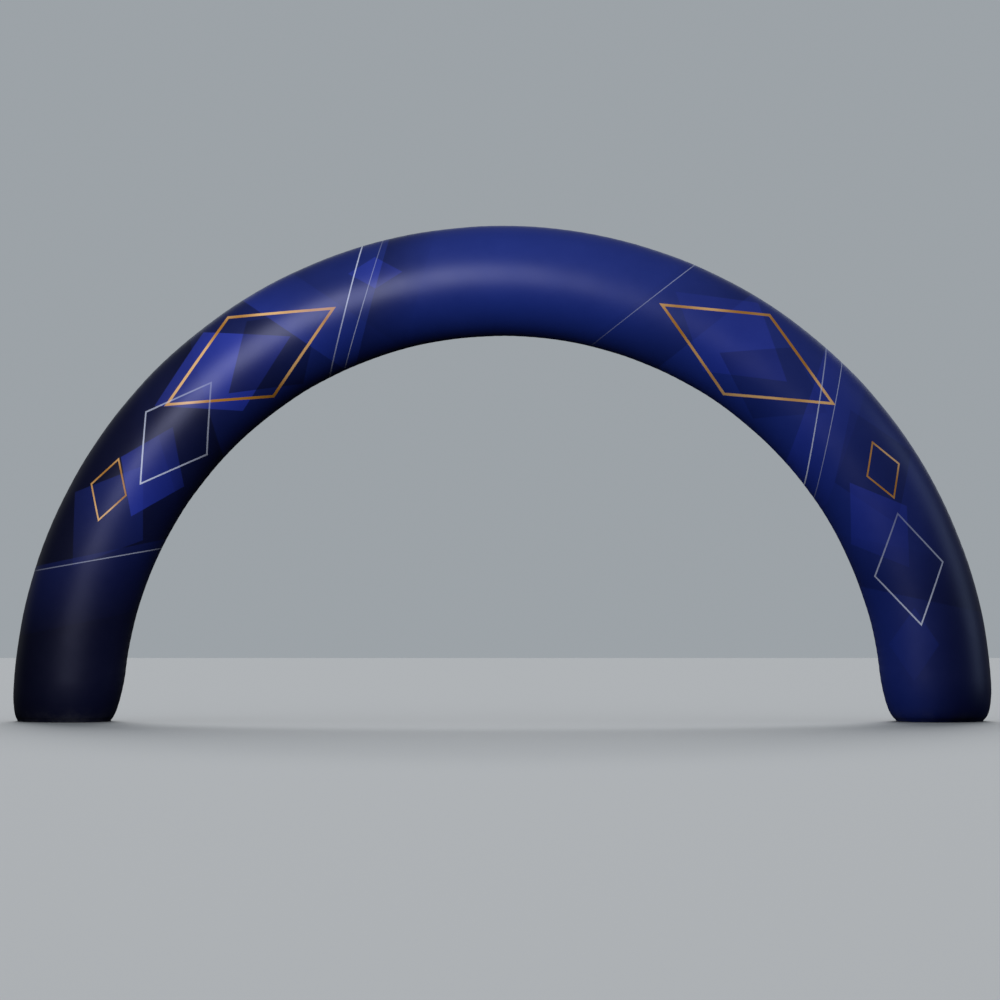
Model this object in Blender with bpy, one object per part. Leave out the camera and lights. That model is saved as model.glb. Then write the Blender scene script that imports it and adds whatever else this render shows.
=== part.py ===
"""An inflatable arch: one air-filled tube of printed cloth, bent into a half ring, on two flat base panels.

Metres, +Z up. The origin is on the ground, midway between the feet. +X runs to the right foot, and the front
faces -Y. The tube is modelled as the filled body that the air gives it, and each base panel is the flat
piece of coated cloth that closes a foot and lies on the ground.
"""

import math

import bmesh
import bpy
from mathutils import Vector

# Driving dimensions of the whole arch.
OUTER_WIDTH = 8.0  # over the outer sides of the two legs
TUBE_DIAMETER = 0.9
LEG_HEIGHT = 0.045  # the straight stretch of each leg, from the ground to where the half ring starts
BASE_PANEL_THICKNESS = 0.002
SEAM_GAP = 0.0003  # between a base panel and the rim of its foot

TUBE_RADIUS = TUBE_DIAMETER / 2
RING_RADIUS = OUTER_WIDTH / 2 - TUBE_RADIUS  # of the tube's centreline
RIM_HEIGHT = BASE_PANEL_THICKNESS + SEAM_GAP  # of the tube's lower rim above the ground
PATH_LENGTH = 2 * LEG_HEIGHT + math.pi * RING_RADIUS  # of the centreline, from ground to ground

# How each foot is drawn in to its base panel. Over the lowest `reach` of height, a side of the tube leans in
# by `taper`, gently, and turns under by a further `turn` close to the ground.
FOOT_COLUMNS = ("reach", "taper", "turn")
FOOT_ROWS = {
    ("left", "outer"): (0.245, 0.029, 0.012),
    ("left", "inner"): (0.425, 0.080, 0.023),
    ("left", "flank"): (0.335, 0.054, 0.018),
    ("right", "outer"): (0.325, 0.043, 0.037),
    ("right", "inner"): (0.425, 0.080, 0.042),
    ("right", "flank"): (0.375, 0.062, 0.040),
}
TAPER_POWER = 2
TURN_POWER = 9

# Facets.
SIDES = 40  # round the tube
FIRST_STEP = 0.009  # between the lowest two sections
STEP_GROWTH = 1.32  # each section is this much further on than the last one
LONGEST_STEP = 0.19

PRINTED_CLOTH = ("printed_cloth", (0.035, 0.055, 0.26), 0.42)
BASE_CLOTH = ("base_cloth", (0.012, 0.013, 0.016), 0.6)


def clear_scene():
    for obj in list(bpy.data.objects):
        bpy.data.objects.remove(obj, do_unlink=True)


def cloth_material(name, colour, roughness):
    material = bpy.data.materials.new(name)
    material.use_nodes = True
    shader = material.node_tree.nodes["Principled BSDF"]
    shader.inputs["Base Color"].default_value = (*colour, 1.0)
    shader.inputs["Roughness"].default_value = roughness
    shader.inputs["Metallic"].default_value = 0.0
    return material


def foot_draw(foot, side, height):
    """How far one side of a foot is drawn in at this height above the ground."""
    row = dict(zip(FOOT_COLUMNS, FOOT_ROWS[foot, side]))
    share = max(0.0, 1 - height / row["reach"])
    return row["taper"] * share**TAPER_POWER + row["turn"] * share**TURN_POWER


def tube_radius(foot, angle, height):
    """The tube's radius at this angle round it, where 0 faces away from the arch and half a turn faces into it."""
    towards_side = math.cos(angle)
    side = "outer" if towards_side > 0 else "inner"
    share = towards_side**2
    draw = share * foot_draw(foot, side, height) + (1 - share) * foot_draw(foot, "flank", height)
    return TUBE_RADIUS - draw


def centreline(distance):
    """(centre, outward direction) of the section this far along the tube from where the left leg meets the ground."""
    into_ring = distance - LEG_HEIGHT
    turned = min(max(into_ring / RING_RADIUS, 0.0), math.pi)
    outward = Vector((-math.cos(turned), 0.0, math.sin(turned)))
    centre = RING_RADIUS * outward + Vector((0.0, 0.0, LEG_HEIGHT))
    if turned == 0.0:
        centre.z += into_ring
    elif turned == math.pi:
        centre.z -= into_ring - math.pi * RING_RADIUS
    return centre, outward


def section(distance):
    """The points round the tube at this distance along it."""
    centre, outward = centreline(distance)
    foot = "left" if distance < PATH_LENGTH / 2 else "right"
    across = Vector((0.0, 1.0, 0.0))
    points = []
    for side in range(SIDES):
        angle = 2 * math.pi * side / SIDES
        direction = math.cos(angle) * outward + math.sin(angle) * across
        height = (centre + TUBE_RADIUS * direction).z
        points.append(centre + tube_radius(foot, angle, height) * direction)
    return points


def section_distances():
    """Where the sections stand: close together at a foot, wider apart up the leg, and the same down the other."""
    half, step = [RIM_HEIGHT], FIRST_STEP
    while half[-1] + step < PATH_LENGTH / 2:
        half.append(half[-1] + step)
        step = min(step * STEP_GROWTH, LONGEST_STEP)
    # The last gap, up to the crown, is shared out so that no section stands too near its neighbour.
    stretch = (PATH_LENGTH / 2 - step / 2 - half[0]) / (half[-1] - half[0])
    half = [half[0] + (distance - half[0]) * stretch for distance in half]
    return half + [PATH_LENGTH - distance for distance in reversed(half)]


def object_from(bm, name, material):
    """Closes the bmesh into a named object whose faces point out."""
    bmesh.ops.recalc_face_normals(bm, faces=bm.faces)
    mesh = bpy.data.meshes.new(name)
    bm.to_mesh(mesh)
    bm.free()
    mesh.materials.append(material)
    obj = bpy.data.objects.new(name, mesh)
    bpy.context.scene.collection.objects.link(obj)
    return obj


def ring_of(bm, points):
    """The points as vertices joined by edges into one closed loop."""
    verts = [bm.verts.new(point) for point in points]
    edges = [bm.edges.new((vert, verts[i - 1])) for i, vert in enumerate(verts)]
    return verts, edges


def make_tube(material):
    """The tube: its sections bridged one to the next, and a flat face over each foot's rim."""
    bm = bmesh.new()
    rings = [ring_of(bm, section(distance)) for distance in section_distances()]
    for (_, lower), (_, upper) in zip(rings, rings[1:]):
        bmesh.ops.bridge_loops(bm, edges=lower + upper)
    for verts, _ in (rings[0], rings[-1]):
        bm.faces.new(verts)
    tube = object_from(bm, "arch_tube", material)
    tube.data.shade_smooth()
    tube.data.set_sharp_from_angle(angle=math.radians(40))
    return tube


def make_base_panel(foot, material):
    """The flat panel that closes a foot: the outline of the tube's rim, cut from thin cloth."""
    rim_distance = RIM_HEIGHT if foot == "left" else PATH_LENGTH - RIM_HEIGHT
    bm = bmesh.new()
    outline, _ = ring_of(bm, [Vector((point.x, point.y, 0.0)) for point in section(rim_distance)])
    underside = bm.faces.new(outline)
    lifted = bmesh.ops.extrude_face_region(bm, geom=[underside])["geom"]
    top = [item for item in lifted if isinstance(item, bmesh.types.BMVert)]
    bmesh.ops.translate(bm, verts=top, vec=(0.0, 0.0, BASE_PANEL_THICKNESS))
    return object_from(bm, f"base_panel_{foot}", material)


def main():
    clear_scene()
    printed_cloth = cloth_material(*PRINTED_CLOTH)
    base_cloth = cloth_material(*BASE_CLOTH)
    make_tube(printed_cloth)
    for foot in ("left", "right"):
        make_base_panel(foot, base_cloth)


main()
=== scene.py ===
# %% [markdown]
# # An inflatable arch
#
# The real object is a tube of printed polyester cloth, as thick as a doorway is wide and bent into
# a half ring. A blower or a sealed air filling keeps it tight. Each foot is closed by a flat panel
# of coated cloth that lies on the ground.
#
# The frame that is loaded here holds the plain engineering solids of the same object. They fix
# every size and place. This file adds what the eye sees: the cloth with its seams and its print,
# the panels under the feet, and a plain studio to look at them in. Everything is in metres, with +Z
# up, +X to the right foot and the front towards -Y.

# %% Load the frame
import math

import bpy
import numpy as np
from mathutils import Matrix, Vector


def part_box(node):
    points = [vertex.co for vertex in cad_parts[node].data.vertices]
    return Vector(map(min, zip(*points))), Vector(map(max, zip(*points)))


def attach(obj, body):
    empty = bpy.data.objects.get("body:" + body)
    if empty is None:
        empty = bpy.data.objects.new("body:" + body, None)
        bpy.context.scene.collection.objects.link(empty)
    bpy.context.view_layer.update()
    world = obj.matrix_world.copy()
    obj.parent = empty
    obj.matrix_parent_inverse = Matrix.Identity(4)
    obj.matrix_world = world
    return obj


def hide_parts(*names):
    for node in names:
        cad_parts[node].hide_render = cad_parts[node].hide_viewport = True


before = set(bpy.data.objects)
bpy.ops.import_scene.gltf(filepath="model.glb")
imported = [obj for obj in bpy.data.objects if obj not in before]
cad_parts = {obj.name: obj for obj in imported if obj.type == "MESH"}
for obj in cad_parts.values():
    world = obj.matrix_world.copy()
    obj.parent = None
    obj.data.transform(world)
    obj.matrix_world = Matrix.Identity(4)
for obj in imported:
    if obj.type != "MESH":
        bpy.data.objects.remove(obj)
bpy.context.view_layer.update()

print("frame nodes:", sorted(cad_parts))

# %% [markdown]
# ## The sizes that everything follows
#
# One centreline carries the whole tube: a short straight stretch up from the ground, a half circle,
# and a short straight stretch down again. The half circle starts a few centimetres above the
# ground. The tube's thickness comes from the frame, because the visual model may not grow out of
# it.

# %% Sizes of the arch
tube_low, tube_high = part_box("arch_tube")
TUBE_RADIUS = (tube_high[1] - tube_low[1]) / 2
OUTER_WIDTH = 8.0  # over the outer sides of the legs, before the feet are drawn in
LEG_HEIGHT = 0.045
RIM_HEIGHT = tube_low[2]  # the tube's lower rim, just above the base panels
RING_RADIUS = OUTER_WIDTH / 2 - TUBE_RADIUS
PATH_LENGTH = 2 * LEG_HEIGHT + math.pi * RING_RADIUS
CROWN_HEIGHT = LEG_HEIGHT + RING_RADIUS + TUBE_RADIUS
print(f"tube radius {TUBE_RADIUS:.3f} m, ring {RING_RADIUS:.3f} m, centreline {PATH_LENGTH:.2f} m")
print(f"the crown is {1000 * (CROWN_HEIGHT - tube_high[2]):.1f} mm above the frame's faceted one")

# %% [markdown]
# ## The camera
#
# A wide arch seen square on, with hardly any perspective, asks for a very long lens a long way off.
# The camera stands level, at less than half the arch's height, so the feet and the crown keep their
# true proportions. No shift is needed: the camera's height alone puts the arch in its place in the
# frame.

# %% Camera
CAMERA_PLACE = (-0.021, -60.0, 1.806)
CAMERA_LENS = 264.5  # millimetres
SENSOR_WIDTH = 36.0  # millimetres
CAMERA_REACH = 500.0  # nothing further off is drawn

camera = bpy.data.objects.new("camera", bpy.data.cameras.new("camera"))
camera.location = CAMERA_PLACE
camera.rotation_euler = (math.radians(90), 0, 0)
camera.data.lens = CAMERA_LENS
camera.data.clip_end = CAMERA_REACH
bpy.context.scene.collection.objects.link(camera)
bpy.context.scene.camera = camera
print(f"the view is {-CAMERA_PLACE[1] * SENSOR_WIDTH / CAMERA_LENS:.2f} m wide at the arch")

# %% [markdown]
# ## Surfaces from arrays
#
# Every new piece here is a grid: rows along the piece, columns round it. numpy works out all the
# points at once, and one helper turns the grid into faces. The last column is joined to the first
# again, and each end closes on one point, so the skin has no hole.

# %% Helper: from a closed tube of points to a mesh
SHARP_ANGLE = math.radians(50)


def closed_tube_mesh(name, points, flat_maps):
    """A mesh from points[row, column, xyz], closed round the columns and at both ends by one point.

    A quad joins each point to its neighbours in the next row and the next column. The first and the
    last row are joined to their own middle point by triangles. flat_maps holds UV maps by name. Each
    is a pair of [gap, column, uv], for the row before and the row after every gap, with one column
    more than the points, so that a map can be cut between any two rows and where the tube closes.
    """
    rows, columns, _ = points.shape
    middles = np.stack([points[0].mean(axis=0), points[-1].mean(axis=0)])
    index = np.arange(rows * columns).reshape(rows, columns)
    after = np.roll(index, -1, axis=1)
    quads = np.stack([index[:-1], index[1:], after[1:], after[:-1]], axis=-1).reshape(-1, 4)
    first_middle, last_middle = rows * columns, rows * columns + 1
    first_fan = np.stack([np.full(columns, first_middle), index[0], after[0]], axis=-1)
    last_fan = np.stack([np.full(columns, last_middle), after[-1], index[-1]], axis=-1)

    mesh = bpy.data.meshes.new(name)
    vertices = np.concatenate([points.reshape(-1, 3), middles])
    mesh.from_pydata(vertices, [], [*quads.tolist(), *first_fan.tolist(), *last_fan.tolist()])
    for map_name, (lower, upper) in flat_maps.items():
        corners = np.stack([lower[:, :-1], upper[:, :-1], upper[:, 1:], lower[:, 1:]], axis=2)
        first_uv = fan_corners(lower[0, :-1], lower[0, 1:])
        last_uv = fan_corners(upper[-1, 1:], upper[-1, :-1])
        layer = mesh.uv_layers.new(name=map_name)
        uv = np.concatenate([corners.reshape(-1, 2), first_uv, last_uv]).astype(np.float32)
        layer.uv.foreach_set("vector", uv.ravel())
    mesh.shade_smooth()
    mesh.set_sharp_from_angle(angle=SHARP_ANGLE)
    mesh.update()
    return mesh


def fan_corners(before, after):
    """The UV corners of one end's triangles: the rim's middle, then each pair of neighbours on it."""
    middle = np.broadcast_to(before.mean(axis=0), before.shape)
    return np.stack([middle, before, after], axis=1).reshape(-1, 2)


def link_piece(name, mesh):
    piece = bpy.data.objects.new(name, mesh)
    bpy.context.scene.collection.objects.link(piece)
    return piece


# %% [markdown]
# ## The tube of cloth
#
# On the real arch the cloth is cut as a front and a back panel. They meet in a sewn seam along the
# outer line of the bend and another along the inner line. Air presses the cloth into a round
# section everywhere, and only the seams hold it back a little. The cloth gathers into short puckers
# beside them. Close to the ground each foot is drawn in to its smaller base panel.
#
# The tube could be a curve with a bevel, or a torus cut in half. A formula over (distance along the
# tube, angle round it) was chosen instead, because each of those effects is then one more term in
# the radius. The angle 0 faces away from the arch, and half a turn faces into it, so the seams lie
# at these two angles.

# %% The centreline
def centreline(distance):
    """(centre, outward direction) at each distance along the tube, from the ground under the left leg.

    The turn is the distance past the left leg divided by the ring's radius, kept between nothing and
    half a circle. The outward direction is (-cos turn, 0, sin turn), the centre is the ring's radius
    along it, and what the turn leaves over moves the centre straight down.
    """
    into_ring = distance - LEG_HEIGHT
    arc = np.clip(into_ring, 0, math.pi * RING_RADIUS)
    turned = arc / RING_RADIUS
    outward = np.stack([-np.cos(turned), np.zeros_like(turned), np.sin(turned)], axis=-1)
    centre = RING_RADIUS * outward
    centre[..., 2] += LEG_HEIGHT - np.abs(into_ring - arc)
    return centre, outward


# %% How the feet are drawn in
FOOT_COLUMNS = ("reach", "taper", "turn")
FOOT_ROWS = {
    ("left", "outer"): (0.245, 0.029, 0.012),
    ("left", "inner"): (0.425, 0.080, 0.023),
    ("left", "flank"): (0.335, 0.054, 0.018),
    ("right", "outer"): (0.325, 0.043, 0.037),
    ("right", "inner"): (0.425, 0.080, 0.042),
    ("right", "flank"): (0.375, 0.062, 0.040),
}
TAPER_POWER = 2
TURN_POWER = 9


def side_draw(foot, side, height):
    """How far one side leans in: taper times share squared, plus turn times share to the ninth, where
    share runs from 1 on the ground to 0 at the side's reach."""
    row = dict(zip(FOOT_COLUMNS, FOOT_ROWS[foot, side]))
    share = np.clip(1 - height / row["reach"], 0, None)
    return row["taper"] * share**TAPER_POWER + row["turn"] * share**TURN_POWER


def foot_draw(distance, angle, height):
    """The draw all round the tube: cos squared of the angle takes the outer or the inner side, and the
    rest takes the flank."""
    towards_side = np.cos(angle)
    draw = np.zeros(np.broadcast(distance, angle, height).shape)
    for foot, here in (("left", distance < PATH_LENGTH / 2), ("right", distance >= PATH_LENGTH / 2)):
        outer, inner, flank = (side_draw(foot, side, height) for side in ("outer", "inner", "flank"))
        side = np.where(towards_side > 0, outer, inner)
        draw += here * (towards_side**2 * side + (1 - towards_side**2) * flank)
    return draw


# %% What the sewing does to the cloth
SEAM_DEPTH = 0.0035  # how far a lengthwise seam is held in
SEAM_WIDTH = 0.009  # of the valley beside it, to about a third of its depth
PUCKER_WIDTH = 0.07  # how far a pucker reaches from the seam, to about a third of its height
PUCKER_START = 0.035  # the seam's own thickness keeps the cloth nearer to it straight
PUCKER_PITCH = 0.085
PUCKER_HEIGHT = {"outer": 0.0018, "inner": 0.0030}  # the inner side of a bend has cloth to spare
PUCKER_UNEVENNESS = 0.35  # how far the height comes and goes along the seam
PUCKER_SLOW_WAVE = 3.7  # radians a metre, of that coming and going
PUCKER_WANDER = 1.9  # radians, by which the waves run early or late
WANDER_WAVES = ((1.0, 2.3), (0.7, 5.1))  # strength, and radians a metre


def pucker_wave(distance, seed):
    """A wave of uneven pitch: the sine of the distance in pitches, plus a slow wander of its phase."""
    wander = 0.0
    for order, (strength, rate) in enumerate(WANDER_WAVES, start=1):
        wander = wander + strength * np.sin(distance * rate + order * seed)
    slow_wave = np.sin(distance * PUCKER_SLOW_WAVE + 3 * seed)
    height = 1 - PUCKER_UNEVENNESS + PUCKER_UNEVENNESS * slow_wave
    return height * np.sin(2 * math.pi * distance / PUCKER_PITCH + PUCKER_WANDER * wander)


def seam_relief(distance, angle):
    """The seams' valleys and puckers. A valley is a bell over the arc from its seam. A pucker is a wave,
    times a fade to nothing over the panel, times 1 - bell, which keeps it off the seam."""
    relief = 0.0
    for seed, (side, seam_angle) in enumerate((("outer", 0.0), ("inner", math.pi)), start=1):
        turn_away = np.abs((angle - seam_angle + math.pi) % (2 * math.pi) - math.pi)
        arc = turn_away * TUBE_RADIUS
        valley = -SEAM_DEPTH * np.exp(-((arc / SEAM_WIDTH) ** 2))
        fade = np.exp(-arc / PUCKER_WIDTH) * (1 - np.exp(-((arc / PUCKER_START) ** 2)))
        relief = relief + valley + PUCKER_HEIGHT[side] * fade * pucker_wave(distance, seed)
    return relief


# %% Slow unevenness of the tight cloth
SWELL_HEIGHT = 0.0011  # cloth stretches a little more in one place than in another
SWELL_COUNT = 14
SWELL_LENGTHS = (0.35, 1.6)  # along the tube, shortest and longest
SWELL_TURNS = (1, 4)  # whole waves round the tube, fewest and most


def slow_swell(distance, angle):
    """A few sine waves that run slantwise round the tube, each with its own length and phase, added up
    and divided by the root of their number."""
    dice = np.random.default_rng(11)
    swell = 0.0
    for _ in range(SWELL_COUNT):
        length = dice.uniform(*SWELL_LENGTHS)
        turns = dice.integers(SWELL_TURNS[0], SWELL_TURNS[1] + 1)
        phase = dice.uniform(0, 2 * math.pi)
        swell = swell + np.sin(2 * math.pi * distance / length + turns * angle + phase)
    return SWELL_HEIGHT * swell / math.sqrt(SWELL_COUNT)


# %% What the base seam does to a foot
HEM_HEIGHT = 0.009  # the roll of cloth where the tube is sewn to its base panel
HEM_DEPTH = 0.0025
HEM_MIDDLE = 1.6 * HEM_HEIGHT  # of the valley over the hem, above the rim
CRIMP_PITCH = 0.16  # of the soft upright creases over the base seam
CRIMP_HEIGHT = 0.0022
CRIMP_REACH = 0.14
CRIMP_UNEVENNESS = 0.4
LEAN_WAVES = ((0.8, 3, 1.0), (0.5, 2, 0.0))  # strength, waves round the foot, phase
DEPTH_WAVE = (5, 2.0)  # waves round the foot, phase


def hem_relief(distance, angle):
    """A small valley over the hem, and upright creases that fade with the height above the ground."""
    above = np.minimum(distance, PATH_LENGTH - distance) - RIM_HEIGHT
    valley = -HEM_DEPTH * np.exp(-(((above - HEM_MIDDLE) / HEM_HEIGHT) ** 2))
    creases = np.round(2 * math.pi * TUBE_RADIUS / CRIMP_PITCH)
    lean = 0.0
    for strength, waves, phase in LEAN_WAVES:
        lean = lean + strength * np.sin(waves * angle + phase)
    waves, phase = DEPTH_WAVE
    depth = 1 - CRIMP_UNEVENNESS + CRIMP_UNEVENNESS * np.sin(waves * angle + phase)
    crease = depth * np.sin(creases * angle + lean)
    return valley + CRIMP_HEIGHT * crease * np.exp(-((above / CRIMP_REACH) ** 2)) * (above > 0)


# %% The tube's surface
def tube_points(distance, angle):
    """The cloth at each (distance, angle): the centre, plus the radius along a direction that turns from
    the outward direction towards +Y. The radius is the tube's, less the foot's draw, plus the relief."""
    centre, outward = centreline(distance)
    direction = np.cos(angle)[..., None] * outward + np.sin(angle)[..., None] * np.array((0.0, 1.0, 0.0))
    height = centre[..., 2] + TUBE_RADIUS * direction[..., 2]
    relief = seam_relief(distance, angle) + slow_swell(distance, angle) + hem_relief(distance, angle)
    radius = TUBE_RADIUS - foot_draw(distance, angle, height) + relief
    return centre + radius[..., None] * direction


# %% Where the grid's rows and columns stand
FIRST_STEP = 0.002
STEP_GROWTH = 1.2
LONGEST_STEP = 0.0158
SEAM_STEP = 0.006  # between columns beside a lengthwise seam
SEAM_STEPS = 10
PANEL_STEPS = 42  # columns over the rest of a panel


def row_distances():
    """Rows from ground to crown, each gap a little longer than the last up to the longest, and the same
    down the other leg."""
    growing_steps = math.ceil(math.log(LONGEST_STEP / FIRST_STEP, STEP_GROWTH))
    growing = FIRST_STEP * STEP_GROWTH ** np.arange(growing_steps)
    half = PATH_LENGTH / 2 - RIM_HEIGHT
    even = math.ceil((half - growing.sum()) / LONGEST_STEP)
    gaps = np.concatenate([growing, np.full(even, (half - growing.sum()) / even)])
    rise = RIM_HEIGHT + np.concatenate([[0.0], np.cumsum(gaps)])
    return np.concatenate([rise, PATH_LENGTH - rise[-2::-1]])


def column_angles():
    """Columns round the tube: close together beside the two seams, even over the front and the back."""
    beside = SEAM_STEP / TUBE_RADIUS * np.arange(SEAM_STEPS)
    between = np.linspace(beside[-1] * SEAM_STEPS / (SEAM_STEPS - 1), math.pi - beside[-1], PANEL_STEPS)
    half = np.concatenate([beside, between, math.pi - beside[-2:0:-1]])
    return np.concatenate([half, half + math.pi])


distances, angles = row_distances(), column_angles()
print(f"the tube is a grid of {len(distances)} rows and {len(angles)} columns")

# %% [markdown]
# ## Flat maps for the cloth
#
# Weave and stitches follow the cloth, not the air round it, so the tube carries a flat map in
# metres: the distance along the tube, and the arc round it from the outer seam. A second map lays
# the same cloth out in four lengths that fill a unit square with nothing overlapping. That one is
# for a painted texture of the whole tube, where every part of the cloth needs its own place.

# %% The two maps
BAKE_STRIPS = 4
BAKE_TILES = 2  # on each side of the square
STRIP_MARGIN = 0.006  # round a strip, as a share of its tile


def metre_map(places, arcs):
    """(place, arc) of the row before and the row after every gap."""
    whole = np.stack(np.meshgrid(places, arcs, indexing="ij"), axis=-1)
    return whole[:-1], whole[1:]


def strip_map(places, arcs):
    """The metre map cut into strips of equal length, each shrunk into its own tile of a unit square."""
    lower, upper = metre_map(places - places[0], arcs)
    length = (places[-1] - places[0]) / BAKE_STRIPS
    middle = (lower[:, 0, 0] + upper[:, 0, 0]) / 2
    strip = np.minimum((middle / length).astype(int), BAKE_STRIPS - 1)[:, None]
    tile = np.stack([strip % BAKE_TILES, strip // BAKE_TILES], axis=-1)
    start = np.stack([strip * length, np.zeros_like(strip)], axis=-1)
    size = np.array((length, arcs[-1]))
    return tuple(
        (tile + STRIP_MARGIN + (1 - 2 * STRIP_MARGIN) * (row - start) / size) / BAKE_TILES
        for row in (lower, upper)
    )


# %% Make the tube
POLE_SHARE = 0.02  # of the rim's size, for the small ring that the end piece closes on


def with_end_pieces(points):
    """The same rows, with one more at each end: the rim shrunk flat towards its own middle."""
    first, last = points[0].mean(axis=0), points[-1].mean(axis=0)
    return np.concatenate([
        (first + POLE_SHARE * (points[0] - first))[None],
        points,
        (last + POLE_SHARE * (points[-1] - last))[None],
    ])


distance_grid, angle_grid = np.meshgrid(distances, angles, indexing="ij")
cloth_points = with_end_pieces(tube_points(distance_grid, angle_grid))
end_reach = TUBE_RADIUS * (1 - POLE_SHARE)
cloth_places = np.concatenate([[distances[0] - end_reach], distances, [distances[-1] + end_reach]])
cloth_arcs = np.append(angles, 2 * math.pi) * TUBE_RADIUS
arch = link_piece("arch_cloth", closed_tube_mesh("arch_cloth", cloth_points, {
    "cloth": metre_map(cloth_places, cloth_arcs),
    "OFBake": strip_map(cloth_places, cloth_arcs),
}))
cloth_area = sum(face.area for face in arch.data.polygons)
print(f"{len(arch.data.polygons)} faces, {cloth_area:.1f} m2 of cloth")

# %% [markdown]
# ## The base panels
#
# Each foot is closed by a disc of heavier coated cloth. Its edge is sewn to the tube from inside,
# so only a narrow lip of it shows round the foot. The disc takes its outline from the tube's own
# lower rim, and its section is a profile of (share of the way out, lip, height) rows carried round
# that outline: along the underside, over the rounded edge, and back along the top.

# %% The section of a base panel
PANEL_LIP = 0.004  # how far the edge stands out past the tube's rim
LIP_WAVER = 0.0008
LIP_WAVES = (3, 7)  # round the foot, long and short ones
FLAT_SHARES = (0.02, 0.35, 0.70, 0.97)  # of the way out
EDGE_ROWS = ((0.55, 0.0), (0.90, 0.2), (1.0, 0.5), (0.90, 0.8), (0.55, 1.0))  # shares of lip, thickness
PANEL_ROWS = (
    *((share, 0.0, 0.0) for share in FLAT_SHARES),
    *((1.0, lip, height) for lip, height in EDGE_ROWS),
    *((share, 0.0, 1.0) for share in reversed(FLAT_SHARES)),
)
panel_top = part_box("base_panel_left")[1][2]


def panel_points(foot):
    """Every profile row carried round the outline: the first share scales it about its middle, the lip
    pushes it straight out, and the height is a share of the panel's thickness."""
    share, lip, height = (np.array(column)[:, None, None] for column in zip(*PANEL_ROWS))
    rim = distances[0] if foot == "left" else distances[-1]
    round_foot = angles if foot == "left" else angles[::-1]
    outline = tube_points(np.full_like(round_foot, rim), round_foot) * (1, 1, 0)
    middle = outline.mean(axis=0)
    away = outline - middle
    away_unit = away / np.linalg.norm(away, axis=-1, keepdims=True)
    long_waves, short_waves = (waves * round_foot[:, None] for waves in LIP_WAVES)
    waver = LIP_WAVER * np.sin(short_waves + 1.0) * np.sin(long_waves)
    flat = middle + share * away + lip * (PANEL_LIP + waver) * away_unit
    return flat + height * panel_top * np.array((0.0, 0.0, 1.0))


# %% Make the base panels
def panel_map(points):
    """The panel seen from above, in metres: every corner keeps its own x and y."""
    closed = np.concatenate([points, points[:, :1]], axis=1)[..., :2]
    return closed[:-1], closed[1:]


base_panels = {}
for foot in ("left", "right"):
    points = panel_points(foot)
    mesh = closed_tube_mesh(f"base_cloth_{foot}", points, {"cloth": panel_map(points)})
    base_panels[foot] = link_piece(f"base_cloth_{foot}", mesh)
    size = np.ptp(points.reshape(-1, 3), axis=0)
    print(f"{foot} base panel: {size[0]:.3f} by {size[1]:.3f} m, {1000 * size[2]:.1f} mm thick")

# %% [markdown]
# ## Helpers for materials
#
# A material is a small graph of nodes. One helper adds any node and fills or links its inputs. The
# others stand for the nodes that come again and again: sums, the parts of a vector, a change of
# range, a colour laid over another, and noise.

# %% Helpers: nodes
def add(tree, kind, inputs=None, **settings):
    """Adds one node. An input is a plain value, or another node's output."""
    node = tree.nodes.new(kind)
    for name, value in settings.items():
        setattr(node, name, value)
    for name, value in (inputs or {}).items():
        put(tree, value, node.inputs[name])
    return node


def put(tree, value, socket):
    """Links a node's output into the socket, or sets the socket to a plain value."""
    if isinstance(value, bpy.types.NodeSocket):
        tree.links.new(value, socket)
    else:
        socket.default_value = value


def calc(tree, operation, *values, clamp=False):
    """The output of one Math node."""
    node = add(tree, "ShaderNodeMath", dict(enumerate(values)), operation=operation, use_clamp=clamp)
    return node.outputs[0]


def times(tree, *values, clamp=False):
    return calc(tree, "MULTIPLY", *values, clamp=clamp)


def split(tree, vector):
    """The X, Y and Z of a vector."""
    return add(tree, "ShaderNodeSeparateXYZ", {"Vector": vector}).outputs


def remap(tree, value, ramp, interpolation="LINEAR"):
    """The value, moved from between the ramp's first two numbers to between its last two or 0 and 1."""
    limits = dict(zip(("From Min", "From Max", "To Min", "To Max"), ramp))
    node = add(tree, "ShaderNodeMapRange", {"Value": value, **limits}, interpolation_type=interpolation)
    return node.outputs["Result"]


def layer(tree, under, over, factor):
    """The colour over laid on the colour under, as strongly as the factor says."""
    node = tree.nodes.new("ShaderNodeMix")
    node.data_type = "RGBA"
    for socket, value in ((node.inputs[0], factor), (node.inputs[6], under), (node.inputs[7], over)):
        put(tree, value, socket)
    return node.outputs[2]


def noise(tree, place, scale, detail):
    """The value of one noise texture, read at the place."""
    node = add(tree, "ShaderNodeTexNoise", {"Vector": place, "Scale": scale, "Detail": detail})
    return node.outputs["Fac"]


def new_material(name):
    material = bpy.data.materials.new(name)
    material.use_nodes = True
    return material, material.node_tree, material.node_tree.nodes["Principled BSDF"]


# %% Helpers: node groups with named inputs and outputs
def new_group(name, inputs, outputs):
    """(group, its input sockets by name, its output node). Inputs are numbers, or None for a vector."""
    group = bpy.data.node_groups.new(name, "ShaderNodeTree")
    for socket_name, value in inputs.items():
        kind = "NodeSocketVector" if value is None else "NodeSocketFloat"
        socket = group.interface.new_socket(socket_name, in_out="INPUT", socket_type=kind)
        if value is not None:
            socket.default_value = value
    for socket_name in outputs:
        group.interface.new_socket(socket_name, in_out="OUTPUT", socket_type="NodeSocketFloat")
    return group, add(group, "NodeGroupInput").outputs, add(group, "NodeGroupOutput")


def give_out(group, result, **values):
    for name, value in values.items():
        group.links.new(value, result.inputs[name])
    return group


def use_group(tree, group, inputs):
    return add(tree, "ShaderNodeGroup", inputs, node_tree=group).outputs


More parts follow.
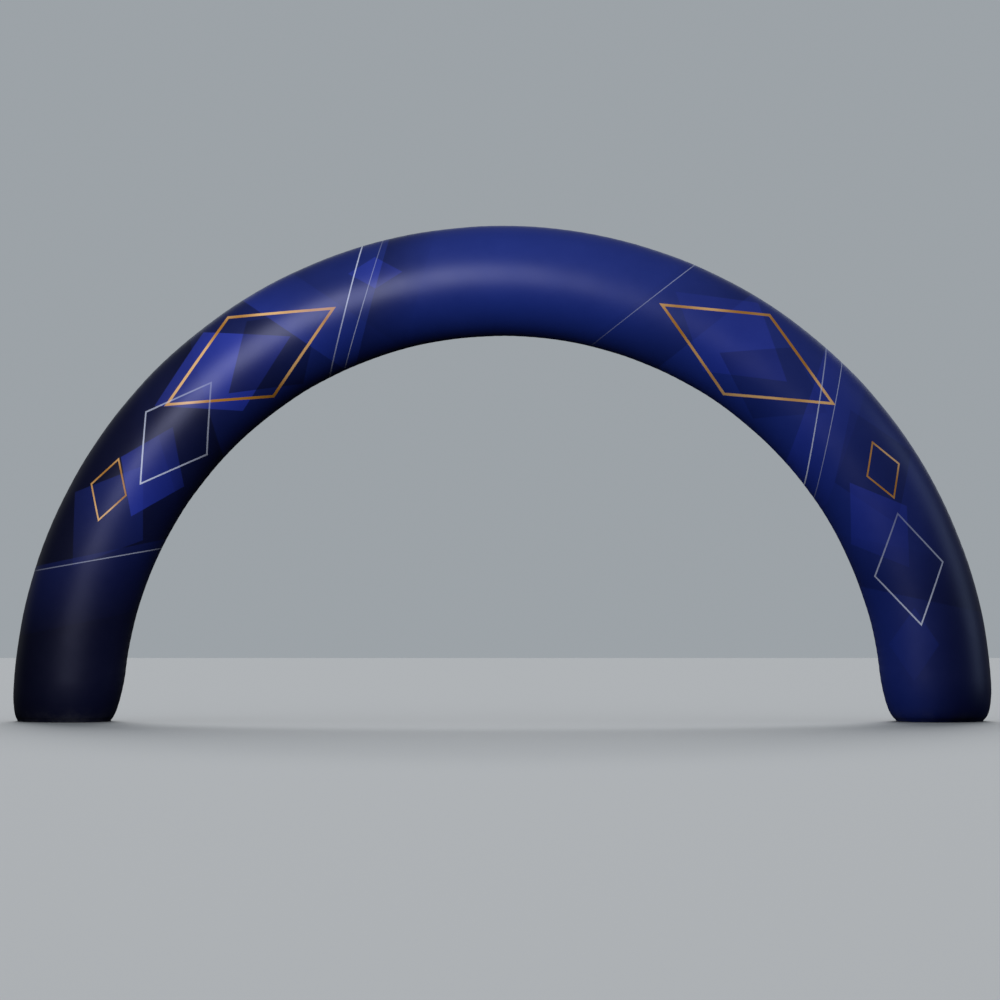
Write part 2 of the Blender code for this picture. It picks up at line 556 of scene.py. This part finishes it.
# %% [markdown]
# ## What every cloth has
#
# Four effects are on the printed cloth or on the base cloth, or on both: the weave, rows of
# stitches, the slow unevenness of ink or coating, and dust. Each one is a node group that is built
# once and placed with its own values. Image textures would do it too, but a sum stays sharp however
# near one looks.
#
# Heights are in millimetres. A Bump node with a distance of one millimetre reads them as they are.

# %% Group: a plain weave
def make_weave_group():
    """Warp threads run one way and weft threads the other, one pitch apart. A thread's height is |sine|
    across it, times half a cosine along it that takes it over one crossing and under the next. Its
    neighbour starts half a wave later. The higher of the two threads shows."""
    group, given, result = new_group("weave", {"Cloth": None, "Pitch": 0.001}, ("Height",))
    along, across, _ = split(group, given["Cloth"])
    warp = calc(group, "DIVIDE", along, given["Pitch"])
    weft = calc(group, "DIVIDE", across, given["Pitch"])
    threads = []
    for own, other, over in ((warp, weft, 0.5), (weft, warp, -0.5)):
        profile = calc(group, "ABSOLUTE", calc(group, "SINE", times(group, own, math.pi)))
        phase = calc(group, "ADD", calc(group, "SUBTRACT", other, 0.5), calc(group, "FLOOR", own))
        wave = calc(group, "COSINE", times(group, phase, math.pi))
        threads.append(times(group, profile, calc(group, "MULTIPLY_ADD", wave, over, 0.5)))
    return give_out(group, result, Height=calc(group, "MAXIMUM", *threads))


weave_group = make_weave_group()


# %% Group: a row of stitches
END_STEEPNESS = 1.5  # a stitch dips into the cloth over half a thread divided by this
THREAD_COVER = 2.5  # the thread's colour is full from a height of one divided by this


def make_stitch_group():
    """Along is the place along the row and Off the distance from it. A stitch is a stretch of the row,
    Share of a pitch long, and as wide as the thread. Its height across is a half circle: the root of
    1 - off squared, in half threads."""
    group, given, result = new_group(
        "stitches",
        {"Along": 0.0, "Off": 0.0, "Pitch": 0.0045, "Share": 0.75, "Thread": 0.0012},
        ("Thread", "Height"),
    )
    half_thread = times(group, given["Thread"], 0.5)
    in_pitch = calc(group, "FRACT", calc(group, "DIVIDE", given["Along"], given["Pitch"]))
    from_middle = calc(group, "ABSOLUTE", calc(group, "SUBTRACT", in_pitch, 0.5))
    to_end = calc(group, "SUBTRACT", times(group, given["Share"], 0.5), from_middle)
    end_room = calc(group, "DIVIDE", times(group, to_end, given["Pitch"]), half_thread)
    share_off = calc(group, "DIVIDE", given["Off"], half_thread)
    bulge = calc(group, "SUBTRACT", 1.0, times(group, share_off, share_off), clamp=True)
    ends = times(group, end_room, END_STEEPNESS, clamp=True)
    height = times(group, calc(group, "SQRT", bulge), ends)
    thread = times(group, height, THREAD_COVER, clamp=True)
    return give_out(group, result, Thread=thread, Height=height)


stitch_group = make_stitch_group()


# %% Group: slow unevenness
MOTTLE_RANGE = (0.35, 0.65)  # where most of a noise lies


def make_mottle_group():
    """Two noises, one a fifth of the other's size, mixed two to one and spread to run from 0 to 1."""
    group, given, result = new_group("mottle", {"Place": None, "Size": 0.3}, ("Mottle",))
    coarse_scale = calc(group, "DIVIDE", 1.0, given["Size"])
    fine_scale = times(group, coarse_scale, 5.0)
    coarse = noise(group, given["Place"], coarse_scale, detail=2.0)
    fine = noise(group, given["Place"], fine_scale, detail=2.0)
    both = calc(group, "DIVIDE", calc(group, "MULTIPLY_ADD", coarse, 2.0, fine), 3.0)
    return give_out(group, result, Mottle=remap(group, both, MOTTLE_RANGE))


mottle_group = make_mottle_group()


# %% Group: dust
SMEAR_SCALE = 9.0
SPECK_SCALE = 160.0
PATCH_RANGE = (0.17, 0.38)  # below it the cloth is clean


def make_dust_group():
    """Dust is thickest on the ground and thins out up to Reach, squared. Noise breaks it into specks and
    smears, so that it starts at no clear line."""
    group, given, result = new_group("dust", {"Place": None, "Reach": 0.2}, ("Dust",))
    _, _, height = split(group, given["Place"])
    share = calc(group, "SUBTRACT", 1.0, calc(group, "DIVIDE", height, given["Reach"]), clamp=True)
    smears = noise(group, given["Place"], SMEAR_SCALE, detail=4.0)
    specks = noise(group, given["Place"], SPECK_SCALE, detail=4.0)
    patches = remap(group, times(group, smears, specks), PATCH_RANGE)
    return give_out(group, result, Dust=times(group, times(group, share, share), patches))


dust_group = make_dust_group()
print("groups:", [group.name for group in bpy.data.node_groups])

# %% [markdown]
# ## The print
#
# The cloth is printed before it is sewn: a ground that runs from near black through royal blue to
# navy, with see-through facets on it, a few gold outlines and thin pale lines. The facets and
# outlines are lozenges and slanting bars, the plainest shapes of a print of this kind.
#
# An artist would draw them in a picture. Here each shape is a short sum over the distance from its
# own middle, so its edges stay sharp at any size. The print is flat to the front: it reads the
# cloth's x and z only, so straight lines look straight from the front and pass round the tube like
# hoops. Two groups hold the sums, and a table places them.

# %% What both shapes need
PRINT_BLEED = 0.003  # how far ink runs at an edge, in metres


def inked(group, edge, bleed):
    """1 inside the edge and 0 outside it, with a step as wide as the ink bleeds."""
    return calc(group, "SUBTRACT", 0.5, calc(group, "DIVIDE", edge, bleed), clamp=True)


def way_across(group, value, half):
    """From 0 to 1 while the value runs from -half to half."""
    return calc(group, "MULTIPLY_ADD", calc(group, "DIVIDE", value, half), 0.5, 0.5, clamp=True)


# %% Group: a lozenge
def make_lozenge_group():
    """A point lies on the edge where |x| / half length + |z| / half width is 1. That sum, less 1, times
    length x width / diagonal of the two halves, is the distance from the edge in metres."""
    group, given, result = new_group(
        "lozenge",
        {"Place": None, "Half Length": 0.5, "Half Width": 0.3, "Line": 0.02, "Bleed": PRINT_BLEED},
        ("Fill", "Outline", "Along"),
    )
    x, _, z = split(group, given["Place"])
    length, width = given["Half Length"], given["Half Width"]
    x_share = calc(group, "DIVIDE", calc(group, "ABSOLUTE", x), length)
    z_share = calc(group, "DIVIDE", calc(group, "ABSOLUTE", z), width)
    squares = [times(group, side, side) for side in (length, width)]
    diagonal = calc(group, "SQRT", calc(group, "ADD", *squares))
    scale = calc(group, "DIVIDE", times(group, length, width), diagonal)
    past_one = calc(group, "SUBTRACT", calc(group, "ADD", x_share, z_share), 1.0)
    edge = times(group, past_one, scale)
    half_line = times(group, given["Line"], 0.5)
    off_line = calc(group, "SUBTRACT", calc(group, "ABSOLUTE", edge), half_line)
    fill, outline = (inked(group, off, given["Bleed"]) for off in (edge, off_line))
    return give_out(group, result, Fill=fill, Outline=outline, Along=way_across(group, x, length))


lozenge_group = make_lozenge_group()


# %% Group: a slanting bar
def make_bar_group():
    """The x is pushed over by slant times z first. The distance from the edge is then the larger of
    |x| - half length and |z| - half width."""
    group, given, result = new_group(
        "slanting_bar",
        {"Place": None, "Half Length": 0.3, "Half Width": 0.6, "Slant": 0.5, "Bleed": PRINT_BLEED},
        ("Fill", "Along", "Across"),
    )
    x, _, z = split(group, given["Place"])
    pushed = calc(group, "SUBTRACT", x, times(group, z, given["Slant"]))
    past_end = calc(group, "SUBTRACT", calc(group, "ABSOLUTE", pushed), given["Half Length"])
    past_side = calc(group, "SUBTRACT", calc(group, "ABSOLUTE", z), given["Half Width"])
    edge = calc(group, "MAXIMUM", past_end, past_side)
    fill = inked(group, edge, given["Bleed"])
    along = way_across(group, pushed, given["Half Length"])
    across = way_across(group, z, given["Half Width"])
    return give_out(group, result, Fill=fill, Along=along, Across=across)


bar_group = make_bar_group()

# %% The inks
INKS = {
    "navy": (0.0040, 0.0052, 0.020),
    "royal": (0.015, 0.035, 0.30),
    "bright": (0.026, 0.052, 0.52),
    # the light gold, used only for the painted glints along the gold lines
    "gold": (0.90, 0.53, 0.22),
    "deep_gold": (0.50, 0.215, 0.024),
    "pale": (0.72, 0.78, 1.0),
}
GROUND_ROWS = (  # share of the way from the left side to the right one, red, green, blue
    (0.0, 0.0030, 0.0038, 0.015),
    (0.12, 0.0045, 0.0060, 0.032),
    (0.3, 0.0085, 0.0190, 0.145),
    (0.5, 0.0140, 0.0345, 0.268),
    (0.7, 0.0135, 0.0335, 0.265),
    (0.85, 0.0125, 0.0290, 0.225),
    (0.92, 0.0105, 0.0225, 0.170),
    (0.955, 0.0072, 0.0130, 0.092),
    (1.0, 0.0050, 0.0080, 0.048),
)

# %% Where the shapes stand
# along is in degrees round the half ring from the left foot, offset is outward from the middle of
# the tube, and turn is clockwise from the tube's own direction. near and far are the ink's strength
# at the shape's two ends, towards the left foot and towards the right one.
FACET_COLUMNS = ("shape", "along", "offset", "turn", "length", "width", "slant", "ink", "near", "far")
FACET_ROWS = (
    ("bar", 17, 0.0, 0, 0.30, 0.60, -0.55, "royal", 0.02, 0.20),
    ("lozenge", 27, 0.04, 8, 0.50, 0.34, 0, "royal", 0.10, 0.48),
    ("lozenge", 35, -0.08, -10, 0.40, 0.28, 0, "bright", 0.62, 0.22),
    ("bar", 43, 0.0, 0, 0.26, 0.60, 0.60, "navy", 0.15, 0.70),
    ("lozenge", 51, 0.06, 12, 0.62, 0.36, 0, "bright", 0.30, 0.80),
    ("lozenge", 58, -0.06, -10, 0.50, 0.34, 0, "navy", 0.75, 0.30),
    ("bar", 65, 0.0, 0, 0.24, 0.60, -0.60, "royal", 0.75, 0.20),
    ("lozenge", 74, 0.20, 14, 0.22, 0.13, 0, "bright", 0.30, 0.60),
    ("bar", 76, 0.0, 0, 0.20, 0.60, 0.55, "navy", 0.50, 0.05),
    ("bar", 113, 0.0, 0, 0.30, 0.60, 0.55, "navy", 0.05, 0.32),
    ("lozenge", 121, 0.05, 8, 0.58, 0.36, 0, "bright", 0.15, 0.52),
    ("lozenge", 129, -0.06, -10, 0.50, 0.33, 0, "navy", 0.38, 0.16),
    ("bar", 138, 0.0, 0, 0.24, 0.60, -0.55, "bright", 0.36, 0.08),
    ("lozenge", 146, 0.08, 12, 0.50, 0.34, 0, "navy", 0.16, 0.36),
    ("lozenge", 153, -0.12, -8, 0.42, 0.27, 0, "bright", 0.52, 0.12),
    ("bar", 161, 0.0, 0, 0.22, 0.60, 0.60, "navy", 0.06, 0.34),
    ("lozenge", 170, -0.16, 10, 0.30, 0.20, 0, "royal", 0.48, 0.18),
)
LINE_COLUMNS = (*FACET_COLUMNS[:7], "line", *FACET_COLUMNS[7:])  # line is the width of an outline
LINE_ROWS = (
    ("lozenge", 55, 0.02, 5, 0.78, 0.37, 0, 0.021, "gold", 1.0, 1.0),
    ("lozenge", 30, 0.14, -12, 0.26, 0.15, 0, 0.013, "gold", 1.0, 1.0),
    ("lozenge", 41, -0.04, -6, 0.50, 0.30, 0, 0.012, "pale", 0.95, 0.20),
    ("bar", 69, 0.0, 0, 0.006, 0.60, 0.70, 0.0, "pale", 0.25, 0.90),
    ("bar", 71.5, 0.0, 0, 0.004, 0.60, 0.70, 0.0, "pale", 0.60, 0.12),
    ("bar", 21, 0.0, 0, 0.005, 0.60, -0.60, 0.0, "pale", 0.62, 0.12),
    ("lozenge", 124, 0.0, -4, 0.80, 0.37, 0, 0.021, "gold", 1.0, 1.0),
    ("lozenge", 160, -0.04, 8, 0.46, 0.28, 0, 0.012, "pale", 0.25, 1.0),
    ("bar", 136, 0.0, 0, 0.006, 0.60, -0.75, 0.0, "pale", 1.0, 0.30),
    ("bar", 138.5, 0.0, 0, 0.004, 0.60, -0.75, 0.0, "pale", 0.20, 0.65),
    ("bar", 109, 0.0, 0, 0.004, 0.60, 0.65, 0.0, "pale", 0.10, 0.50),
    ("lozenge", 147, 0.13, 12, 0.24, 0.14, 0, 0.013, "gold", 1.0, 1.0),
)


def put_on_arch(tree, place, along, offset, turn):
    """The place as seen from a point of the arch: x along the tube, z outward, both in metres."""
    angle = math.radians(along)
    reach = RING_RADIUS + offset
    middle = (-reach * math.cos(angle), 0.0, LEG_HEIGHT + reach * math.sin(angle))
    mapping = add(tree, "ShaderNodeMapping", {
        "Vector": place,
        "Location": middle,
        "Rotation": (0.0, math.radians(along - 90 + turn), 0.0),
    }, vector_type="TEXTURE")
    return mapping.outputs["Vector"]


def shape_masks(tree, place, row):
    """(mask of the whole shape or of its line, share of the way along it) for one row of a table."""
    here = put_on_arch(tree, place, row["along"], row["offset"], row["turn"])
    sizes = {"Place": here, "Half Length": row["length"], "Half Width": row["width"]}
    if row["shape"] == "bar":
        bar = use_group(tree, bar_group, {**sizes, "Slant": row["slant"]})
        return bar["Fill"], bar["Across"] if "line" in row else bar["Along"]
    lozenge = use_group(tree, lozenge_group, {**sizes, "Line": row.get("line", 0.0)})
    return lozenge["Outline" if "line" in row else "Fill"], lozenge["Along"]


def weighed(tree, mask, share, row):
    """The mask times an ink strength that runs from near to far along the shape."""
    strength = calc(tree, "MULTIPLY_ADD", share, row["far"] - row["near"], row["near"])
    return times(tree, mask, strength)


# %% The printed colour
# Painted highlight: lighter stretches along the gold lines stand in for the glints of metal.
GOLD_PAINTED_GLINT_LENGTH = 0.45  # between the painted glints, the lighter stretches of a gold line
GOLD_PAINTED_GLINT_RANGE = (0.42, 0.62)


def ground_colour(tree, place):
    """The ground: a ramp from side to side of the arch, through every row of the table."""
    x, _, _ = split(tree, place)
    share = calc(tree, "MULTIPLY_ADD", x, 1 / OUTER_WIDTH, 0.5, clamp=True)
    ramp = add(tree, "ShaderNodeValToRGB", {"Fac": share})
    stops = ramp.color_ramp.elements
    for _ in GROUND_ROWS[2:]:
        stops.new(0.5)
    for stop, (position, *colour) in zip(stops, GROUND_ROWS):
        stop.position = position
        stop.color = (*colour, 1)
    return ramp.outputs["Color"]


def gold_with_painted_glints(tree, place):
    """Gold lines in the deep gold ink, with painted glints: noise lays lighter stretches of the light
    gold over them, as highlights.
    """
    glint_noise = noise(tree, place, 1 / GOLD_PAINTED_GLINT_LENGTH, detail=0.0)
    painted_glint = remap(tree, glint_noise, GOLD_PAINTED_GLINT_RANGE)
    return layer(tree, (*INKS["deep_gold"], 1), (*INKS["gold"], 1), painted_glint)


def printed_colour(tree, place):
    """(colour of the print, mask of the gold lines): the ground, facets on it, and lines on those."""
    inks = {name: (*ink, 1) for name, ink in INKS.items()}
    inks["gold"] = gold_with_painted_glints(tree, place)
    colour = ground_colour(tree, place)
    for values in FACET_ROWS:
        row = dict(zip(FACET_COLUMNS, values))
        factor = weighed(tree, *shape_masks(tree, place, row), row)
        colour = layer(tree, colour, inks[row["ink"]], factor)
    gold_masks = []
    for values in LINE_ROWS:
        row = dict(zip(LINE_COLUMNS, values))
        factor = weighed(tree, *shape_masks(tree, place, row), row)
        colour = layer(tree, colour, inks[row["ink"]], factor)
        if row["ink"] == "gold":
            gold_masks.append(factor)
    gold_mask = gold_masks[0]
    for mask in gold_masks[1:]:
        gold_mask = calc(tree, "MAXIMUM", gold_mask, mask)
    return colour, gold_mask


# %% [markdown]
# ## The finish of the printed cloth
#
# The cloth is a satin polyester, woven fine and drawn tight. Its gloss is broad and a little blue,
# because part of it comes from under the ink. Close to, one sees the threads, the two lengthwise
# seams with a row of stitches on either side, and another row over the hem round each foot. Near
# the ground it has picked up some dust.
#
# The weave and the stitches read the flat map in metres, so they follow the cloth round the bend.
# Everything that varies goes to the colour, the roughness and the bump. What is the same all over
# is set on the shader.

# %% Sizes of the threads and stitches
MILLIMETRE = 0.001
THREAD_PITCH = 0.0011
WEAVE_HEIGHT = 0.02  # millimetres, as all heights here
WEAVE_GAP_PAINTED_SHADE = 0.10  # painted shade: how much darker the gaps between the threads are painted
WEAVE_MEAN = 0.6  # of the weave's height, over the cloth
SEAM_LINE = 0.0016  # the dark line where two panels meet, edge to edge
STITCH_OFFSET = 0.008  # from the seam to the row beside it
HEM_OFFSET = 0.020  # from the ground to the row over the hem
STITCH_HEIGHT = 0.45
STITCH_COLOUR = (0.050, 0.058, 0.150)
DUST_COLOUR = (0.19, 0.19, 0.20)
QUARTER_ROUND = math.pi * TUBE_RADIUS / 2


def sewing(tree, cloth):
    """(mask of the thread, its height, mask of the seam's dark line) over the long seams and the hems.

    Ping-pong folds the arc round the tube so that it is 0 at both seams, and folds the distance along
    it so that it is 0 at both feet."""
    along, arc, _ = split(tree, cloth)
    off_seam = calc(tree, "PINGPONG", arc, QUARTER_ROUND)
    off_ground = calc(tree, "PINGPONG", along, PATH_LENGTH / 2)
    beside = calc(tree, "SUBTRACT", off_seam, STITCH_OFFSET)
    over_hem = calc(tree, "SUBTRACT", off_ground, HEM_OFFSET)
    seam_row = use_group(tree, stitch_group, {"Along": along, "Off": beside})
    hem_row = use_group(tree, stitch_group, {"Along": arc, "Off": over_hem})
    thread = calc(tree, "MAXIMUM", seam_row["Thread"], hem_row["Thread"])
    height = calc(tree, "MAXIMUM", seam_row["Height"], hem_row["Height"])
    line = calc(tree, "SUBTRACT", 1.0, calc(tree, "DIVIDE", off_seam, SEAM_LINE), clamp=True)
    return thread, height, line


# %% What both materials read
def cloth_effects(tree, pitch, mottle_size, dust_reach):
    """(place, flat map, weave, mottle, dust), the last three each from its own group."""
    place = add(tree, "ShaderNodeTexCoord").outputs["Object"]
    cloth = add(tree, "ShaderNodeUVMap", uv_map="cloth").outputs["UV"]
    weave = use_group(tree, weave_group, {"Cloth": cloth, "Pitch": pitch})["Height"]
    mottle = use_group(tree, mottle_group, {"Place": place, "Size": mottle_size})["Mottle"]
    dust = use_group(tree, dust_group, {"Place": place, "Reach": dust_reach})["Dust"]
    return place, cloth, weave, mottle, dust


# %% The arch's material
CLOTH_ROUGHNESS = 0.40
ROUGHNESS_SPREAD = 0.05  # from one mottled patch to another
GOLD_ROUGHNESS = -0.07  # what each of these adds to the cloth's own
THREAD_ROUGHNESS = 0.15
DUST_ROUGHNESS = 0.30
INK_SPREAD = 0.07  # in lightness
SEAM_SHADE = -0.6  # what the seam's dark line adds to the lightness
MOTTLE_SIZE = 0.4
DUST_REACH = 0.16
DUST_COVER = 0.20
SATIN_TINT = (0.66, 0.68, 1.0, 1)
SATIN_GLOSS = 0.62

arch_material, tree, shader = new_material("printed_cloth")
place, cloth, weave, mottle, dust = cloth_effects(tree, THREAD_PITCH, MOTTLE_SIZE, DUST_REACH)
colour, gold_mask = printed_colour(tree, place)
thread, thread_height, seam_line = sewing(tree, cloth)

# The gaps between the threads get painted shade: the lower the weave, the darker the colour. The ink's
# mottle and the seam's dark line are the cloth's own colour.
lightness_with_painted_shade = calc(tree, "MULTIPLY_ADD", weave, WEAVE_GAP_PAINTED_SHADE, 1 - WEAVE_MEAN * WEAVE_GAP_PAINTED_SHADE)
ink = calc(tree, "MULTIPLY_ADD", mottle, INK_SPREAD, 1 - INK_SPREAD / 2)
lightness_with_painted_shade = times(tree, lightness_with_painted_shade, ink)
lightness_with_painted_shade = times(tree, lightness_with_painted_shade, calc(tree, "MULTIPLY_ADD", seam_line, SEAM_SHADE, 1.0))
colour = add(tree, "ShaderNodeVectorMath", {0: colour, "Scale": lightness_with_painted_shade}, operation="SCALE").outputs[0]
colour = layer(tree, colour, (*STITCH_COLOUR, 1), thread)
colour = layer(tree, colour, (*DUST_COLOUR, 1), times(tree, dust, DUST_COVER))
put(tree, colour, shader.inputs["Base Color"])

roughness = calc(tree, "MULTIPLY_ADD", mottle, ROUGHNESS_SPREAD, CLOTH_ROUGHNESS - ROUGHNESS_SPREAD / 2)
for mask, change in ((gold_mask, GOLD_ROUGHNESS), (thread, THREAD_ROUGHNESS), (dust, DUST_ROUGHNESS)):
    roughness = calc(tree, "MULTIPLY_ADD", mask, change, roughness)
put(tree, roughness, shader.inputs["Roughness"])

relief = times(tree, thread_height, STITCH_HEIGHT)
relief = calc(tree, "MULTIPLY_ADD", weave, WEAVE_HEIGHT, relief)
bump = add(tree, "ShaderNodeBump", {"Height": relief, "Distance": MILLIMETRE, "Strength": 1.0})
put(tree, bump.outputs["Normal"], shader.inputs["Normal"])

shader.inputs["Specular Tint"].default_value = SATIN_TINT
shader.inputs["Specular IOR Level"].default_value = SATIN_GLOSS
arch.data.materials.append(arch_material)
print(f"the print has {len(FACET_ROWS)} facets and {len(LINE_ROWS)} lines in {len(tree.nodes)} nodes")

# %% [markdown]
# ## The finish of the base cloth
#
# The panels under the feet are a coarser cloth with a dark coating, made to be dragged over the
# ground. The coating fills the weave, so its threads show as a soft grid. It is nearly black,
# scuffed paler here and there, and dustier than the tube.

# %% The base panels' material
COATED_PITCH = 0.0022
COATED_HEIGHT = 0.08
COATED_MOTTLE_SIZE = 0.12
COATED_DUST_REACH = 0.02
COATED_DUST_COVER = 0.22
COATED_DARK = (0.007, 0.0075, 0.0095, 1)
COATED_SCUFFED = (0.018, 0.0185, 0.021, 1)
COATED_ROUGHNESS = 0.52  # where it is dark
SCUFF_ROUGHNESS = 0.14  # more, where it is scuffed
COATED_DUST_ROUGHNESS = 0.2

base_material, tree, shader = new_material("base_cloth")
_, _, weave, mottle, dust = cloth_effects(tree, COATED_PITCH, COATED_MOTTLE_SIZE, COATED_DUST_REACH)
colour = layer(tree, COATED_DARK, COATED_SCUFFED, mottle)
colour = layer(tree, colour, (*DUST_COLOUR, 1), times(tree, dust, COATED_DUST_COVER))
put(tree, colour, shader.inputs["Base Color"])
roughness = calc(tree, "MULTIPLY_ADD", mottle, SCUFF_ROUGHNESS, COATED_ROUGHNESS)
roughness = calc(tree, "MULTIPLY_ADD", dust, COATED_DUST_ROUGHNESS, roughness)
put(tree, roughness, shader.inputs["Roughness"])
relief = times(tree, weave, COATED_HEIGHT)
bump = add(tree, "ShaderNodeBump", {"Height": relief, "Distance": MILLIMETRE})
put(tree, bump.outputs["Normal"], shader.inputs["Normal"])
for panel in base_panels.values():
    panel.data.materials.append(base_material)
print(f"the base cloth has {len(tree.nodes)} nodes")

# %% [markdown]
# ## The studio
#
# A plain pale floor runs back to a straight far edge, and a plain grey wall fills the view behind
# it. The floor is only for the eye: the arch doesn't pick up its colour, because a real floor of
# this size would light the whole underside of the tube.

# %% Floor
FLOOR_SIDE = 90.0
FLOOR_FAR = 24.0
FLOOR_DROP = 0.0005  # just under the panels, so that no two faces share one plane
FLOOR_COLOUR = (0.49, 0.515, 0.54, 1)
FLOOR_ROUGHNESS = 0.7

floor_mesh = bpy.data.meshes.new("floor")
floor_mesh.from_pydata([
    (-FLOOR_SIDE, -FLOOR_SIDE, -FLOOR_DROP),
    (FLOOR_SIDE, -FLOOR_SIDE, -FLOOR_DROP),
    (FLOOR_SIDE, FLOOR_FAR, -FLOOR_DROP),
    (-FLOOR_SIDE, FLOOR_FAR, -FLOOR_DROP),
], [], [(0, 1, 2, 3)])
floor = link_piece("floor", floor_mesh)
floor_material, tree, shader = new_material("floor_paint")
shader.inputs["Base Color"].default_value = FLOOR_COLOUR
shader.inputs["Roughness"].default_value = FLOOR_ROUGHNESS
floor.data.materials.append(floor_material)
floor.visible_diffuse = False
floor.visible_glossy = False

# %% [markdown]
# ## The surroundings
#
# A studio shapes its light with cloths and flags that stand out of view. The world does the same
# here: it shows the lens a plain wall, lights the cloth from a dome that is brightest overhead, and
# gives the gloss only a dim wall behind the arch to mirror, which draws a thin pale rim along the
# top of the tube.

# %% Surroundings
WALL_COLOUR = (0.335, 0.365, 0.39)
DOME_COLOUR = (0.93, 0.97, 1.0)
MIRRORED_COLOUR = (0.9, 0.96, 1.0)
DOME_RAMP = (0.0, 0.75, 0.0, 0.48)  # over the height of a direction, from level to straight up
BEHIND_RAMP = (0.3, 0.9, 0.0, 0.13)  # over how far a direction points to the back
ABOVE_RAMP = (-0.15, 0.15, 0.05, 1.0)  # nothing is mirrored from below the floor's edge

world = bpy.data.worlds.new("studio")
world.use_nodes = True
bpy.context.scene.world = world
tree = world.node_tree
tree.nodes.clear()


def background(colour, strength):
    return add(tree, "ShaderNodeBackground", {"Color": (*colour, 1), "Strength": strength}).outputs[0]


direction = add(tree, "ShaderNodeTexCoord").outputs["Generated"]
_, to_back, upward = split(tree, direction)
behind = remap(tree, to_back, BEHIND_RAMP, "SMOOTHSTEP")
above = remap(tree, upward, ABOVE_RAMP, "SMOOTHSTEP")
dome = background(DOME_COLOUR, remap(tree, upward, DOME_RAMP, "SMOOTHSTEP"))
mirrored = background(MIRRORED_COLOUR, times(tree, behind, above))
wall = background(WALL_COLOUR, 1.0)
rays = add(tree, "ShaderNodeLightPath").outputs
lit = add(tree, "ShaderNodeMixShader", {0: rays["Is Glossy Ray"], 1: dome, 2: mirrored}).outputs[0]
all_rays = add(tree, "ShaderNodeMixShader", {0: rays["Is Camera Ray"], 1: lit, 2: wall}).outputs[0]
add(tree, "ShaderNodeOutputWorld", {"Surface": all_rays})

# %% [markdown]
# ## The lamps
#
# One big softbox stands in front of the left half and reaches well above the crown, so the gloss
# runs up the left leg, broadens over the crown and fades to the right. A dim bluish strip at the
# right draws a soft edge along the right leg, and a wide dim cloth far behind draws a thin one
# along the top. A broad sun, for the floor only, comes from behind. It sets the floor's brightness
# and lays a soft shadow in front of the feet.

# %% Lamps
LAMP_COLUMNS = ("name", "place", "aim", "width", "height", "watts", "colour")
LAMP_ROWS = (
    ("key", (-2.9, -8.0, 5.4), (-2.3, 0.0, 3.0), 5.2, 5.0, 480, (1.0, 1.0, 1.0)),
    ("right", (9.5, 0.5, 3.4), (3.3, 0.0, 1.6), 3.2, 7.0, 56, (0.64, 0.81, 1.0)),
    ("back", (1.0, 12.0, 5.5), (0.5, 0.0, 2.0), 16.0, 7.0, 170, (0.80, 0.90, 1.0)),
)
SUN_STRENGTH = 1.4
SUN_ANGLE = math.radians(40)  # how broad it is
SUN_LEAN = math.radians(-50)


def lit_only(lamp, name, pieces):
    """Makes the lamp shine on these pieces alone."""
    lit = bpy.data.collections.new(name)
    for piece in pieces:
        lit.objects.link(piece)
    lamp.light_linking.receiver_collection = lit


for values in LAMP_ROWS:
    row = dict(zip(LAMP_COLUMNS, values))
    lamp = bpy.data.objects.new(row["name"], bpy.data.lights.new(row["name"], "AREA"))
    lamp.data.shape = "RECTANGLE"
    lamp.data.size = row["width"]
    lamp.data.size_y = row["height"]
    lamp.data.energy = row["watts"]
    lamp.data.color = row["colour"]
    lamp.location = row["place"]
    facing = Vector(row["aim"]) - Vector(row["place"])
    lamp.rotation_euler = facing.to_track_quat("-Z", "Y").to_euler()
    lamp.visible_camera = False
    bpy.context.scene.collection.objects.link(lamp)
    lit_only(lamp, f"lit_by_{row['name']}", (arch, *base_panels.values()))

sun = bpy.data.objects.new("floor_sun", bpy.data.lights.new("floor_sun", "SUN"))
sun.data.energy = SUN_STRENGTH
sun.data.angle = SUN_ANGLE
sun.rotation_euler = (SUN_LEAN, 0, 0)
bpy.context.scene.collection.objects.link(sun)
lit_only(sun, "lit_by_sun", (floor,))
bpy.context.scene.view_settings.view_transform = "Standard"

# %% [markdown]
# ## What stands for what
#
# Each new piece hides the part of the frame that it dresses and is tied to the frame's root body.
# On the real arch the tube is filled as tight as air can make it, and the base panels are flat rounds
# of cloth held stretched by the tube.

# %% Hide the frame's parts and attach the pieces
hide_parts("arch_tube")
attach(arch, "root")
for foot, panel in base_panels.items():
    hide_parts(f"base_panel_{foot}")
    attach(panel, "root")
